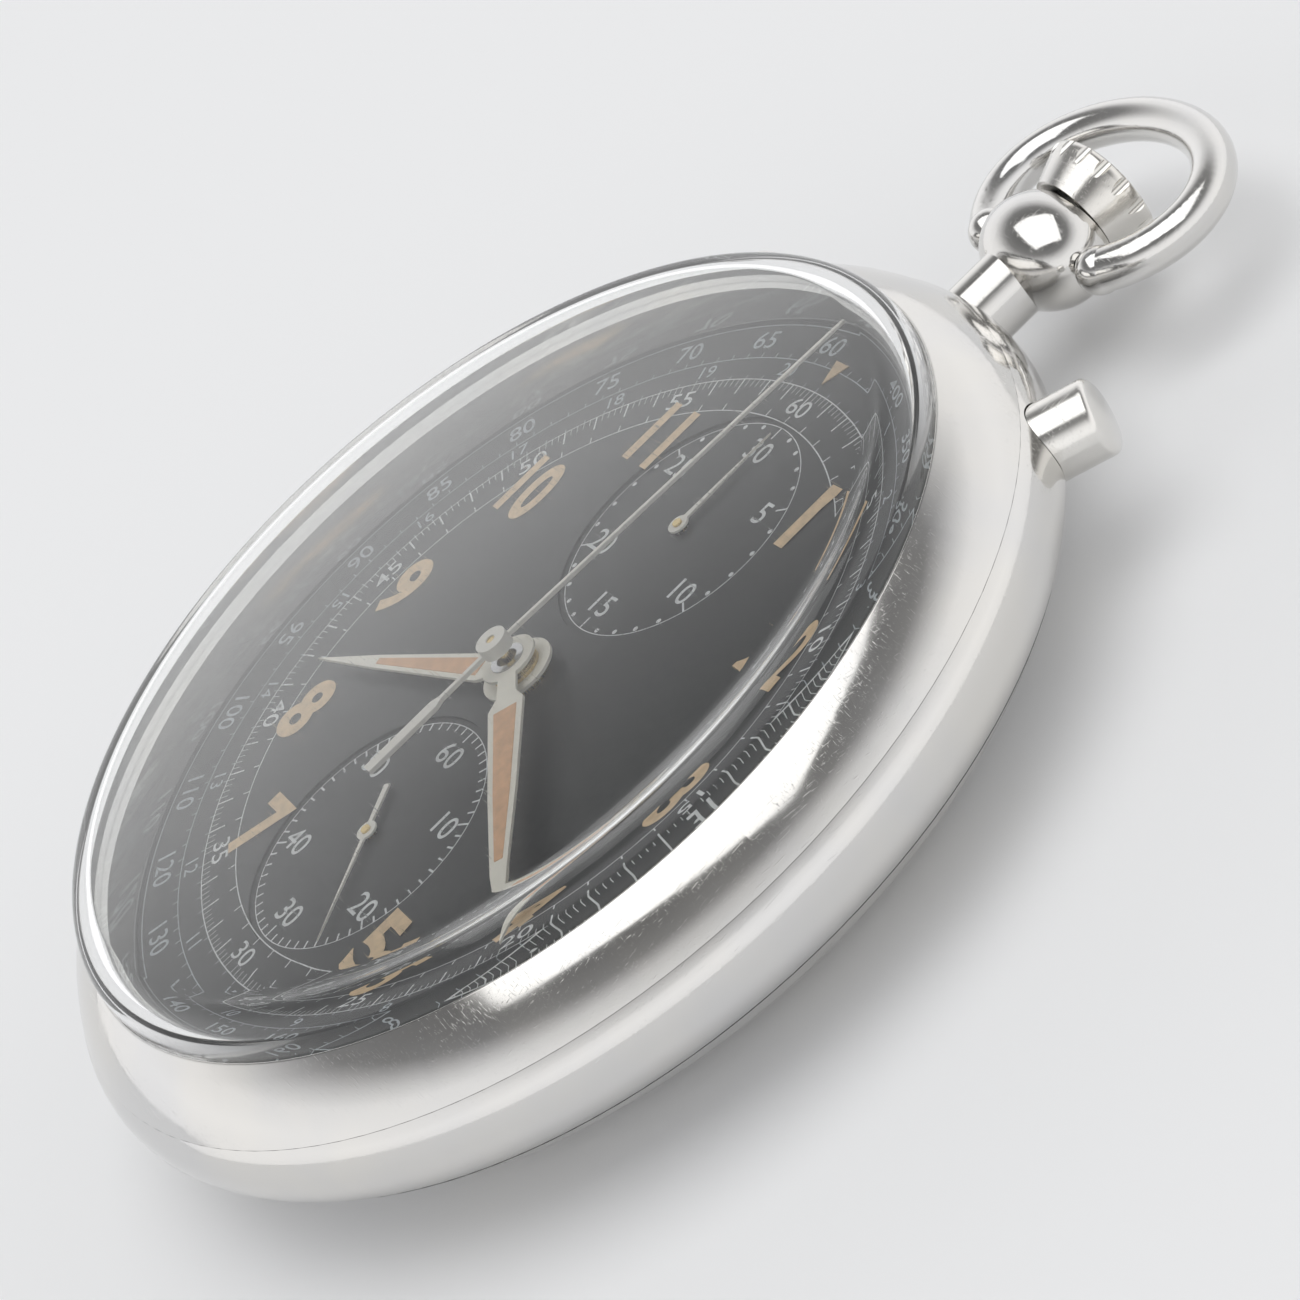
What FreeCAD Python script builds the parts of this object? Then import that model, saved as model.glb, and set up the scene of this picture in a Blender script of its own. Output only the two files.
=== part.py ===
"""Two-button pocket chronograph: case, dial side, going train, winding work and chronograph work.

The watch lies on its back. The origin is the centre of the flat of the back cover, +Z points out
through the dial, +Y points to 12 o'clock (pendant, crown and bow) and +X to 3 o'clock.
All sizes are millimetres and live in the spreadsheet "Sizes".
"""
import FreeCAD
import Part
import Sketcher
import math
import os
import re

Vector = FreeCAD.Vector
Rotation = FreeCAD.Rotation
Placement = FreeCAD.Placement

doc = FreeCAD.newDocument("PocketChronograph")
sheet = doc.addObject("Spreadsheet::Sheet", "Sizes")
known = {}
parts = {}


# ---------------------------------------------------------------- driving dimensions

def dimension(alias, value, note=""):
    """Put one dimension on the sheet: its name, its value and what it is."""
    row = len(known) + 1
    sheet.set("A%d" % row, alias)
    sheet.set("B%d" % row, repr(round(float(value), 6)))
    sheet.set("C%d" % row, note)
    sheet.setAlias("B%d" % row, alias)
    known[alias] = float(value)


for alias, value, note in [
    ("back_flat", 15.0, "radius of the flat that the watch rests on"),
    ("back_curve", 12.5, "radius of the back's shoulder"),
    ("wall", 0.6, "thickness of the back cover"),
    ("seam_low_radius", 24.15, "back cover to case band"),
    ("seam_low", 4.0, "height of that seam"),
    ("seam_top_radius", 24.4, "case band to bezel"),
    ("seam_top", 7.7, "height of that seam"),
    ("band_curve", 2.75, "radius of the band's bulge, which makes the case 50 across"),
    ("gap", 0.02, "gap at a closed seam"),
    ("lip_radius", 22.0, "bezel to crystal"),
    ("lip_top", 10.2, "height of the bezel's lip"),
    ("bezel_curve", 7.0, "radius of the bezel's outer sweep"),
    ("rehaut_radius", 21.0, "inner edge of the bezel over the dial"),
    ("crystal_seat", 9.3, "ledge under the crystal"),
    ("crystal_wall", 1.1, "thickness of the crystal"),
    ("crystal_shoulder", 2.0, "outer radius of its shoulder"),
    ("crystal_rise", 10.35, "height where the shoulder starts"),
    ("crystal_dome", 180.0, "radius of the dome"),
    ("stem_height", 4.8, "height of the winding stem's axis"),
    ("movement_radius", 20.3, "radius of the mainplate"),
    ("plate_low", 5.3, "bridge side of the mainplate"),
    ("plate_top", 6.8, "dial side of the mainplate"),
    ("dial_top", 7.2, "face of the dial"),
    ("bridge_low", 2.3, "back of the bridges"),
    ("bridge_top", 3.4, "front of the bridges"),
    ("subdial", 9.25, "small dials' distance from the centre"),
    ("subdial_radius", 6.4, "radius of a small dial"),
    ("pivot", 0.12, "radius of a small pivot"),
    ("arbor", 0.22, "radius of a small arbor"),
    ("running_fit", 0.03, "radial clearance of a bearing"),
    ("neck_radius", 1.7, "pendant neck"),
    ("pendant_y", 29.5, "centre of the pendant head and axis of the bow"),
    ("pendant_top", 31.25, "flat top of the pendant head"),
    ("head_wide", 3.5, "half width of the pendant head along X"),
    ("head_deep", 2.65, "half size of the head along Y and Z"),
    ("stem_bore", 0.8, "radius of the bore through the pendant"),
    ("crown_bore", 1.7, "radius of the recess for the crown's tube"),
    ("bow_wide", 6.9, "half width of the bow at the middle of its wire"),
    ("bow_high", 4.7, "half height of the bow at the middle of its wire"),
    ("bow_wire", 1.0, "radius of the bow's wire"),
    ("bow_end", 48.0, "angle of the bow's ends below its centre, degrees"),
    ("bow_pin", 0.55, "radius of the bow's pivot tips"),
    ("crown_low", 31.4, "underside of the crown"),
    ("crown_high", 33.9, "top of the crown"),
    ("crown_radius", 2.95, "widest radius of the crown"),
    ("crown_foot", 2.3, "radius of the crown at its underside"),
    ("flutes", 16, "flutes round the crown"),
    ("stem_radius", 0.5, "winding stem"),
    ("button_angle", 32.5, "buttons' angle from 12 o'clock, degrees"),
    ("button_height", 5.8, "height of the buttons' axis"),
    ("button_radius", 1.7, "radius of a button's cap"),
    ("button_out", 27.3, "how far out the buttons' faces stand"),
    ("button_rod", 0.7, "radius of a button's rod"),
    ("button_in", 19.9, "inner end of a button's rod"),
]:
    dimension(alias, value, note)
doc.recompute()


def ex(text):
    """An expression on the sheet's names, such as 'seam_top - gap', in the form FreeCAD reads."""
    return re.sub(r"[a-z][a-z_0-9]*", lambda word: "Sizes." + word.group() if word.group() in known
                  else word.group(), str(text))


def size(text):
    """The value of such an expression."""
    return float(sheet.evalExpression(ex(text)))


def bind(item, prop, text):
    item.setExpression(prop, ex(text))


def polar(radius, degrees):
    return radius * math.cos(math.radians(degrees)), radius * math.sin(math.radians(degrees))


def meet(one, reach_one, two, reach_two, side):
    """The point at two given distances from two others: side 1 is left of the line one to two."""
    dx, dy = two[0] - one[0], two[1] - one[1]
    apart = math.hypot(dx, dy)
    along = (reach_one ** 2 - reach_two ** 2 + apart ** 2) / (2 * apart)
    off = side * math.sqrt(max(reach_one ** 2 - along ** 2, 0))
    return (one[0] + (along * dx - off * dy) / apart, one[1] + (along * dy + off * dx) / apart)


# ---------------------------------------------------------------- features

def finish(item, label):
    """Name an object as a piece of the watch, to be written to its own file."""
    item.Label = label
    parts[label] = item
    return item


def new_body(label, centre=None):
    """An empty body, moved in plan to a wheel's or a screw's centre."""
    body = doc.addObject("PartDesign::Body", label)
    if centre is not None:
        body.Placement = Placement(Vector(centre[0], centre[1], 0), Rotation())
    return finish(body, label)


def sketch_on(body, plane, level="0", turn=0.0):
    """A sketch on one of the body's planes, raised to a level and turned about its normal."""
    sketch = body.newObject("Sketcher::SketchObject", "Sketch")
    base = [item for item in body.Origin.OriginFeatures if item.Role == plane][0]
    sketch.AttachmentSupport = (base, "")
    sketch.MapMode = "FlatFace"
    sketch.AttachmentOffset = Placement(Vector(0, 0, size(level)), Rotation(Vector(0, 0, 1), turn))
    bind(sketch, "AttachmentOffset.Base.z", level)
    return sketch


def pin_point(sketch, curve, end, x, y):
    """Hold one point of the sketch at x, y, each a number or an expression on the sheet."""
    for kind, text, axis in (("DistanceX", x, -2), ("DistanceY", y, -1)):
        value = size(text)
        if abs(value) < 1e-9:
            sketch.addConstraint(Sketcher.Constraint("PointOnObject", curve, end, axis))
            continue
        first, second = ((-1, 1), (curve, end)) if value > 0 else ((curve, end), (-1, 1))
        index = sketch.addConstraint(Sketcher.Constraint(kind, *first, *second, abs(value)))
        sign = "" if value > 0 else "-"
        bind(sketch, "Constraints[%d]" % index, "%s(%s)" % (sign, text))


def outline(sketch, points):
    """A closed outline. Each point is (x, y) or (x, y, radius): a radius makes the stretch that
    leaves the point an arc, centre to the left of the way round, or to the right when negative."""
    places = [(size(point[0]), size(point[1])) for point in points]
    ends = []
    for index, point in enumerate(points):
        here, there = places[index], places[(index + 1) % len(points)]
        if len(point) == 2:
            curve = sketch.addGeometry(Part.LineSegment(Vector(*here, 0), Vector(*there, 0)), False)
            ends.append((curve, 1, 2))
            continue
        text = str(point[2])
        radius = abs(size(text))
        side = 1 if size(text) > 0 else -1
        centre = meet(here, radius, there, radius, side)
        first, last = (here, there) if side > 0 else (there, here)
        angles = [math.atan2(spot[1] - centre[1], spot[0] - centre[0]) for spot in (first, last)]
        circle = Part.Circle(Vector(*centre, 0), Vector(0, 0, 1), radius)
        curve = sketch.addGeometry(Part.ArcOfCircle(circle, angles[0], angles[1]), False)
        ends.append((curve, 1, 2) if side > 0 else (curve, 2, 1))
        if math.dist(here, there) < 1.999 * radius:
            fixed = sketch.addConstraint(Sketcher.Constraint("Radius", curve, radius))
            bind(sketch, "Constraints[%d]" % fixed, "abs(%s)" % text)
    for index, point in enumerate(points):
        curve, start, unused = ends[index]
        before, unused, stop = ends[index - 1]
        sketch.addConstraint(Sketcher.Constraint("Coincident", before, stop, curve, start))
        pin_point(sketch, curve, start, point[0], point[1])


def circles(sketch, holes):
    """Circles given as (x, y, radius)."""
    for x, y, radius in holes:
        centre = Vector(size(x), size(y), 0)
        curve = sketch.addGeometry(Part.Circle(centre, Vector(0, 0, 1), size(radius)), False)
        index = sketch.addConstraint(Sketcher.Constraint("Radius", curve, size(radius)))
        bind(sketch, "Constraints[%d]" % index, radius)
        pin_point(sketch, curve, 3, x, y)


def check_volume(body, before, grows):
    doc.recompute()
    after = body.Shape.Volume
    if after < 1e-6 or not (after > before if grows else after < before):
        raise RuntimeError("%s: a feature failed, %g then %g" % (body.Label, before, after))


def volume_of(body):
    return 0.0 if body.Tip is None or body.Shape.isNull() else body.Shape.Volume


def pad(body, sketch, length):
    before = volume_of(body)
    feature = body.newObject("PartDesign::Pad", "Pad")
    feature.Profile = sketch
    feature.Length = size(length)
    bind(feature, "Length", length)
    check_volume(body, before, True)
    return feature


def pocket(body, sketch, length):
    """Cut downwards from the sketch's level."""
    before = volume_of(body)
    feature = body.newObject("PartDesign::Pocket", "Pocket")
    feature.Profile = sketch
    feature.Length = size(length)
    bind(feature, "Length", length)
    check_volume(body, before, False)
    return feature


def repeat(body, feature, count, sketch):
    """Repeat a feature evenly round the axis of the sketch that made it."""
    pattern = body.newObject("PartDesign::PolarPattern", "Round")
    pattern.Originals = [feature]
    pattern.Axis = (sketch, ["N_Axis"])
    pattern.Angle = 360
    pattern.Occurrences = int(count)
    body.Tip = pattern
    doc.recompute()


def turned(body, points):
    """A turned piece: its half section as (radius, height) points, spun about Z."""
    sketch = sketch_on(body, "XZ_Plane")
    outline(sketch, points)
    feature = body.newObject("PartDesign::Revolution", "Turned")
    feature.Profile = sketch
    feature.ReferenceAxis = (sketch, ["V_Axis"])
    feature.Angle = 360
    doc.recompute()
    return feature


def slab(body, level, thickness, points):
    """A flat piece of the given outline."""
    sketch = sketch_on(body, "XY_Plane", level)
    outline(sketch, points)
    return pad(body, sketch, thickness)


def posts(body, level, length, spots):
    sketch = sketch_on(body, "XY_Plane", level)
    circles(sketch, spots)
    return pad(body, sketch, length)


def drill(body, level, depth, spots):
    """Round holes cut downwards from a level."""
    sketch = sketch_on(body, "XY_Plane", level)
    circles(sketch, spots)
    return pocket(body, sketch, depth)


def toothed(body, level, thickness, count, module, turn=0.0):
    """A toothed rim: a disc of the tip radius with one gap cut and repeated. A gap lies on +Y
    before the turn, degrees anticlockwise."""
    pitch_radius = module * count / 2
    tip, root = pitch_radius + 0.75 * module, pitch_radius - 1.1 * module
    pitch = math.pi * module
    posts(body, level, thickness, [("0", "0", tip)])
    sketch = sketch_on(body, "XY_Plane", "%s + %s" % (level, thickness), turn)
    outline(sketch, [(-0.21 * pitch, root), (0.21 * pitch, root),
                     (0.4 * pitch, tip + 0.05), (-0.4 * pitch, tip + 0.05)])
    repeat(body, pocket(body, sketch, thickness), count, sketch)


def heading(centre, other):
    return math.degrees(math.atan2(other[1] - centre[1], other[0] - centre[0]))


def meshed(turn, count, centre, other, other_count):
    """The turn that puts a second wheel in mesh with one that is already turned."""
    line = heading(centre, other)
    share = ((line - turn - 90.0) * count / 360.0) % 1.0
    return line + 90.0 + (share + 0.5) * 360.0 / other_count


def windows(body, level, thickness, count, radius, hole):
    """Round windows through a wheel."""
    drill(body, "%s + %s" % (level, thickness), thickness, [
        (*polar(radius, 360.0 * index / count), hole) for index in range(count)])


def staff(body, spans):
    """Round lengths of an arbor, each (radius, from, to)."""
    for radius, low, high in spans:
        posts(body, low, "%s - (%s)" % (high, low), [("0", "0", radius)])


def outward(degrees, start="0", height="stem_height"):
    """A placement whose Z points out from the watch's axis, clockwise from 12 o'clock."""
    turn = Rotation(Vector(0, 0, 1), -degrees)
    return Placement(turn.multVec(Vector(0, size(start), size(height))),
                     turn.multiply(Rotation(Vector(1, 0, 0), -90)))


def lying(label, degrees=0.0, height="stem_height"):
    """An empty body lying along a line out from the watch's axis."""
    body = new_body(label)
    body.Placement = outward(degrees, "0", height)
    return body


def cylinder(radius, length, place):
    item = doc.addObject("Part::Cylinder", "Round")
    bind(item, "Radius", radius)
    bind(item, "Height", length)
    item.Placement = place
    return item


def joined(items):
    item = doc.addObject("Part::MultiFuse", "Joined")
    item.Shapes = items
    return item


def cut(base, tool):
    item = doc.addObject("Part::Cut", "Cut")
    item.Base = base
    item.Tool = tool
    item.Refine = False
    return item


def bar(body, level, thickness, spots, width):
    """A flat lever along a line of spots, with round ends, made of straight links."""
    for (ax, ay), (bx, by) in zip(spots, spots[1:]):
        length = math.hypot(bx - ax, by - ay)
        ux, uy = (bx - ax) / length, (by - ay) / length
        half = width / 2
        slab(body, level, thickness, [
            (ax + uy * half, ay - ux * half), (bx + uy * half, by - ux * half, half),
            (bx - uy * half, by + ux * half), (ax - uy * half, ay + ux * half, half)])


# ---------------------------------------------------------------- where things stand

CENTRE = (0.0, 0.0)
SECONDS = (0.0, -size("subdial"))
MINUTES = (0.0, size("subdial"))
BARREL = polar(8.55, 25.0)
THIRD = meet(CENTRE, 5.85, SECONDS, 5.1, -1)
BALANCE = (8.5, -11.9)
ESCAPE = meet(SECONDS, 4.4, BALANCE, 5.44, -1)
PALLETS = (ESCAPE[0] + 2.8 / 5.44 * (BALANCE[0] - ESCAPE[0]),
           ESCAPE[1] + 2.8 / 5.44 * (BALANCE[1] - ESCAPE[1]))
MINUTE_STUD = polar(3.8, 38.0)
CROWN_WHEEL = (0.0, 14.0)
BETWEEN = meet(CROWN_WHEEL, 6.3, BARREL, 7.8, 1)
COUPLING = meet(SECONDS, 4.4, CENTRE, 5.2, 1)
TRANSFER = meet(MINUTES, 4.0, CENTRE, 5.56, 1)
COLUMNS = (-9.0, 9.0)
CLICK = (12.8, -0.63)
START_PIVOT = (-14.5, 6.5)
RESET_PIVOT = (14.5, 6.5)
START_TAB = (-10.42, 16.36)
RESET_TAB = (10.42, 16.36)
CHRONO_FEET = [(-3.2, -3.6), (-3.6, 11.2)]
BARREL_FEET = [(16.0, -1.6), (12.6, 11.6), (-5.6, 15.6)]
TRAIN_FEET = [(-15.5, -7.4), (-8.5, -14.6), (-0.2, -16.6)]
COCK_FOOT = (14.3, -8.6)
PALLET_FOOT = (4.6, -16.4)
CASE_SCREWS = [polar(19.7, angle) for angle in (20.0, 160.0, 265.0)]
DIAL_FEET = [polar(18.3, angle) for angle in (350.0, 175.0)]


# ---------------------------------------------------------------- case

def make_pendant(band, back):
    """The pendant: a flattened ball cut flat for the crown, a neck and a shank in the band."""
    head = doc.addObject("Part::Ellipsoid", "Head")
    for name, radius in (("Radius1", "head_deep"), ("Radius2", "head_deep"), ("Radius3", "head_wide")):
        bind(head, name, radius)
    head.Placement = Placement(outward(0.0, "pendant_y").Base, Rotation(Vector(0, 0, 1), -90))
    neck = cylinder("neck_radius", "5", outward(0.0, "23.9"))
    above = doc.addObject("Part::Box", "Above")
    for name in ("Length", "Width", "Height"):
        bind(above, name, "4 * head_wide")
    above.Placement = Placement(
        Vector(-2 * size("head_wide"), size("pendant_top"), -2 * size("head_wide")), Rotation())
    outside = cut(cut(joined([head, neck]), above), band)
    shank = cylinder("1.48", "2.8", outward(0.0, "23.3"))
    side = Rotation(Vector(0, 1, 0), 90)
    pivots = Placement(Vector(-5, size("pendant_y"), size("stem_height")), side)
    holes = [cylinder("stem_bore", "12", outward(0.0, "21")),
             cylinder("crown_bore", "4", outward(0.0, "29.2")),
             cylinder("bow_pin + running_fit", "2.9", pivots),
             cylinder("bow_pin + running_fit", "2.9", Placement(
                 Vector(2.1, size("pendant_y"), size("stem_height")), side))]
    finish(cut(cut(joined([outside, shank]), back), joined(holes)), "pendant")


def make_bow():
    """The bow: an oval wire, open at the foot, with a ball and a pin at each end."""
    body = new_body("bow")
    drop = math.sin(math.radians(size("bow_end")))
    body.Placement = Placement(Vector(0, size("pendant_y") + drop * size("bow_high"),
                                      size("stem_height")), Rotation())
    spine = sketch_on(body, "XY_Plane")
    oval = Part.Ellipse(Vector(0, 0, 0), size("bow_wide"), size("bow_high"))
    curve = spine.addGeometry(Part.ArcOfEllipse(
        oval, math.radians(-size("bow_end")), math.radians(180 + size("bow_end"))), False)
    spine.exposeInternalGeometry(curve)
    doc.recompute()
    section = body.newObject("Sketcher::SketchObject", "Section")
    section.AttachmentSupport = [(spine, "Edge1")]
    section.MapMode = "NormalToEdge"
    circles(section, [("0", "0", "bow_wire")])
    doc.recompute()
    wire = body.newObject("PartDesign::AdditivePipe", "Wire")
    wire.Profile = section
    wire.Spine = (spine, ["Edge1"])
    doc.recompute()
    end = size("bow_wide") * math.cos(math.radians(size("bow_end")))
    for side in (-1, 1):
        ball = body.newObject("PartDesign::AdditiveSphere", "Ball")
        bind(ball, "Radius", "bow_wire + 0.08")
        ball.Placement = Placement(Vector(side * end, -drop * size("bow_high"), 0), Rotation())
        pin = body.newObject("PartDesign::AdditiveCylinder", "Pin")
        bind(pin, "Radius", "bow_pin")
        bind(pin, "Height", "2.4")
        pin.Placement = Placement(Vector(side * 2.3 if side > 0 else -4.7,
                                         -drop * size("bow_high"), 0),
                                  Rotation(Vector(0, 1, 0), 90))
    doc.recompute()


def make_crown_and_stem():
    crown = lying("crown")
    turned(crown, [
        ("stem_radius + 0.01", "29.6"), ("1.35", "29.6"), ("1.35", "crown_low"),
        ("crown_foot", "crown_low"), ("crown_radius", "crown_high - 0.85", "0.45"),
        ("crown_radius - 0.4", "crown_high - 0.3", "5.5"), ("0.3", "crown_high"), ("0", "crown_high"),
        ("0", "32.45"), ("stem_radius + 0.01", "32.45")])
    sketch = sketch_on(crown, "XY_Plane", "crown_high + 0.2")
    circles(sketch, [("0", "crown_radius + 0.12", "0.3")])
    groove = pocket(crown, sketch, "2.4")
    repeat(crown, groove, size("flutes"), sketch)

    stem = lying("winding_stem")
    staff(stem, [("0.25", "9.9", "11.3"), ("stem_radius", "16.58", "32.4")])
    half = 0.34
    slab(stem, "11.2", "5.5", [(-half, -half), (half, -half), (half, half), (-half, half)])

    seal = lying("crown_seal")
    posts(seal, "29.7", "0.6", [("0", "0", "crown_bore - 0.02")])
    drill(seal, "30.3", "0.6", [("0", "0", "1.38")])

    pinion = lying("winding_pinion")
    toothed(pinion, "16.6", "1.6", 18, 0.18)
    drill(pinion, "18.2", "1.6", [("0", "0", "stem_radius + running_fit")])

    slider = lying("sliding_pinion")
    posts(slider, "13.1", "3.45", [("0", "0", "1.3")])
    half = 0.37
    sketch = sketch_on(slider, "XY_Plane", "16.55")
    outline(sketch, [(-half, -half), (half, -half), (half, half), (-half, half)])
    pocket(slider, sketch, "3.45")
    sketch = sketch_on(slider, "XY_Plane", "15")
    circles(sketch, [("0", "0", "1.4"), ("0", "0", "0.85")])
    pocket(slider, sketch, "0.6")


def make_buttons():
    for label, side in (("start_stop_button", -1.0), ("reset_button", 1.0)):
        angle = side * size("button_angle")
        button = lying(label, angle, "button_height")
        turned(button, [
            ("0", "button_in"), ("button_rod", "button_in"), ("button_rod", "23.6"),
            ("button_radius", "23.6"), ("button_radius", "button_out - 0.5", "0.35"),
            ("button_radius - 0.3", "button_out - 0.15", "9"), ("0.2", "button_out"),
            ("0", "button_out")])
        spring = lying(label.replace("button", "spring"), angle, "button_height")
        coil = spring.newObject("PartDesign::AdditiveHelix", "Coil")
        sketch = sketch_on(spring, "XZ_Plane")
        circles(sketch, [("1.25", "22.5", "0.07")])
        coil.Profile = sketch
        coil.ReferenceAxis = (sketch, ["V_Axis"])
        coil.Mode = "pitch-height-angle"
        coil.Pitch = 0.4
        coil.Height = 1.0
        spring.Tip = coil
        doc.recompute()


def make_case():
    back = new_body("back_cover")
    turned(back, [
        ("0", "0"), ("back_flat", "0", "back_curve"), ("seam_low_radius", "seam_low - gap"),
        ("22.6", "seam_low - gap"),
        ("22.6", "3.35", "-(back_curve - wall)"), ("back_flat", "wall"), ("0", "wall")])

    band = doc.addObject("PartDesign::Body", "BandRing")
    turned(band, [
        ("23.25", "seam_low"), ("seam_low_radius", "seam_low", "band_curve"),
        ("seam_top_radius", "seam_top"), ("23.3", "seam_top"), ("23.3", "8.6"), ("21.45", "8.6"),
        ("21.45", "plate_top"), ("20.95", "plate_top"), ("20.95", "6.3"), ("20.4", "6.3"),
        ("20.4", "4.8"), ("23.25", "4.8")])
    # Bores for the pendant's shank and the two buttons.
    bored = cut(band, cylinder("1.5", "8", outward(0.0, "19")))
    for side in (1.0, -1.0):
        angle = side * size("button_angle")
        bored = cut(bored, cylinder("button_rod + 0.05", "8", outward(angle, "19", "button_height")))
        bored = cut(bored, cylinder("button_radius + 0.05", "5",
                                    outward(angle, "22.4", "button_height")))
    finish(bored, "case_band")
    make_pendant(band, back)

    bezel = new_body("bezel")
    turned(bezel, [
        ("seam_top_radius", "seam_top + gap", "bezel_curve"), ("lip_radius + 0.12", "lip_top - 0.04",
                                                              "0.1"),
        ("lip_radius", "lip_top - 0.04"), ("lip_radius", "crystal_seat"),
        ("rehaut_radius + 0.25", "crystal_seat"), ("rehaut_radius", "dial_top + 0.1"),
        ("rehaut_radius + 0.35", "dial_top + 0.1"), ("rehaut_radius + 0.35", "8.66"),
        ("23.35", "8.66"), ("23.35", "seam_top + gap")])

    # The crystal: an upright wall, a rounded shoulder and a shallow dome of even thickness.
    radius = size("lip_radius - gap")
    centre = radius - size("crystal_shoulder")
    lean = math.asin(centre / (size("crystal_dome") - size("crystal_shoulder")))
    for name, shell in (("outer", 0.0), ("inner", size("crystal_wall"))):
        curve = size("crystal_shoulder") - shell
        dimension("shoulder_%s_radius" % name, centre + curve * math.sin(lean))
        dimension("shoulder_%s_height" % name, size("crystal_rise") + curve * math.cos(lean))
    apex = size("crystal_rise") + size("crystal_shoulder") - size("crystal_dome") + \
        (size("crystal_dome") - size("crystal_shoulder")) * (1 - math.cos(lean))
    dimension("crystal_top", apex + size("crystal_dome"), "top of the dome")
    doc.recompute()
    turned(new_body("crystal"), [
        ("lip_radius - gap", "crystal_seat + gap"),
        ("lip_radius - gap", "crystal_rise", "crystal_shoulder"),
        ("shoulder_outer_radius", "shoulder_outer_height", "crystal_dome"),
        ("0.5", "crystal_top"), ("0", "crystal_top"), ("0", "crystal_top - crystal_wall"),
        ("0.5", "crystal_top - crystal_wall", "-(crystal_dome - crystal_wall)"),
        ("shoulder_inner_radius", "shoulder_inner_height", "-(crystal_shoulder - crystal_wall)"),
        ("lip_radius - gap - crystal_wall", "crystal_rise"),
        ("lip_radius - gap - crystal_wall", "crystal_seat + gap")])


def make_dial():
    dial = new_body("dial")
    posts(dial, "plate_top + gap", "dial_top - plate_top - gap", [("0", "0", "21.4")])
    drill(dial, "dial_top", "0.12", [
        ("0", "subdial", "subdial_radius"), ("0", "-subdial", "subdial_radius")])
    drill(dial, "dial_top", "1", [("0", "0", "1.25"), ("0", "subdial", "0.4"), ("0", "-subdial", "0.4")])
    posts(dial, "5.6", "1.4", [(*spot, "0.35") for spot in DIAL_FEET])


def hand(label, centre, clockwise, level, thickness, hub, hole, outline_points):
    """A flat hand: a hub and a blade given as (distance, half width), pointing clockwise from 12."""
    body = new_body(label)
    body.Placement = Placement(Vector(*centre, 0), Rotation(Vector(0, 0, 1), -clockwise))
    posts(body, level, thickness, [("0", "0", hub)])
    right = [(half, reach) for reach, half in outline_points]
    left = [(-half, reach) for reach, half in reversed(outline_points) if half > 0]
    slab(body, level, thickness, right + left)
    if hole:
        drill(body, "%s + %s" % (level, thickness), thickness, [("0", "0", hole)])
    return body


def make_hands():
    hand("hour_hand", CENTRE, 250.0, "7.65", "0.15", "1.75", "1.16", [
        (1.5, 0.5), (2.3, 0.78), (10.5, 0.36), (15.0, 0.0)])
    hand("minute_hand", CENTRE, 120.0, "8.3", "0.15", "1.35", "0.84", [
        (1.1, 0.45), (2.5, 0.5), (3.2, 0.9), (9.0, 0.7), (14.0, 0.4), (17.8, 0.0)])
    hand("running_seconds_hand", SECONDS, 141.0, "7.25", "0.1", "0.5", "arbor + 0.01", [
        (-2.6, 0.16), (6.0, 0.0)])
    hand("minute_counter_hand", MINUTES, 0.0, "7.25", "0.1", "0.5", "arbor + 0.01", [
        (0.3, 0.16), (5.6, 0.0)])
    chrono = new_body("chronograph_hand")
    posts(chrono, "9.05", "0.6", [("0", "0", "0.75")])
    sketch = sketch_on(chrono, "YZ_Plane")
    outline(sketch, [(0.0, 9.15), (20.4, 8.6), (20.4, 8.72), (0.0, 9.35)])
    blade = chrono.newObject("PartDesign::Pad", "Blade")
    blade.Profile = sketch
    blade.Length = 0.2
    blade.Midplane = True
    doc.recompute()
    slab(chrono, "9.15", "0.2", [(0.32, -7.5), (0.32, -3.6), (0.12, -3.2), (0.12, 0.0),
                                 (-0.12, 0.0), (-0.12, -3.2), (-0.32, -3.6), (-0.32, -7.5)])
    drill(chrono, "9.65", "0.6", [("0", "0", "arbor + 0.01")])


# ---------------------------------------------------------------- frame of the movement

def slot(body, level, depth, centre, angle, half_long, half_wide):
    """A rectangular cut; its long side lies along the angle."""
    ux, uy = polar(1.0, angle)
    corners = []
    for along, across in ((-1, -1), (1, -1), (1, 1), (-1, 1)):
        corners.append((centre[0] + along * half_long * ux - across * half_wide * uy,
                        centre[1] + along * half_long * uy + across * half_wide * ux))
    sketch = sketch_on(body, "XY_Plane", level)
    outline(sketch, corners)
    pocket(body, sketch, depth)


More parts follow.
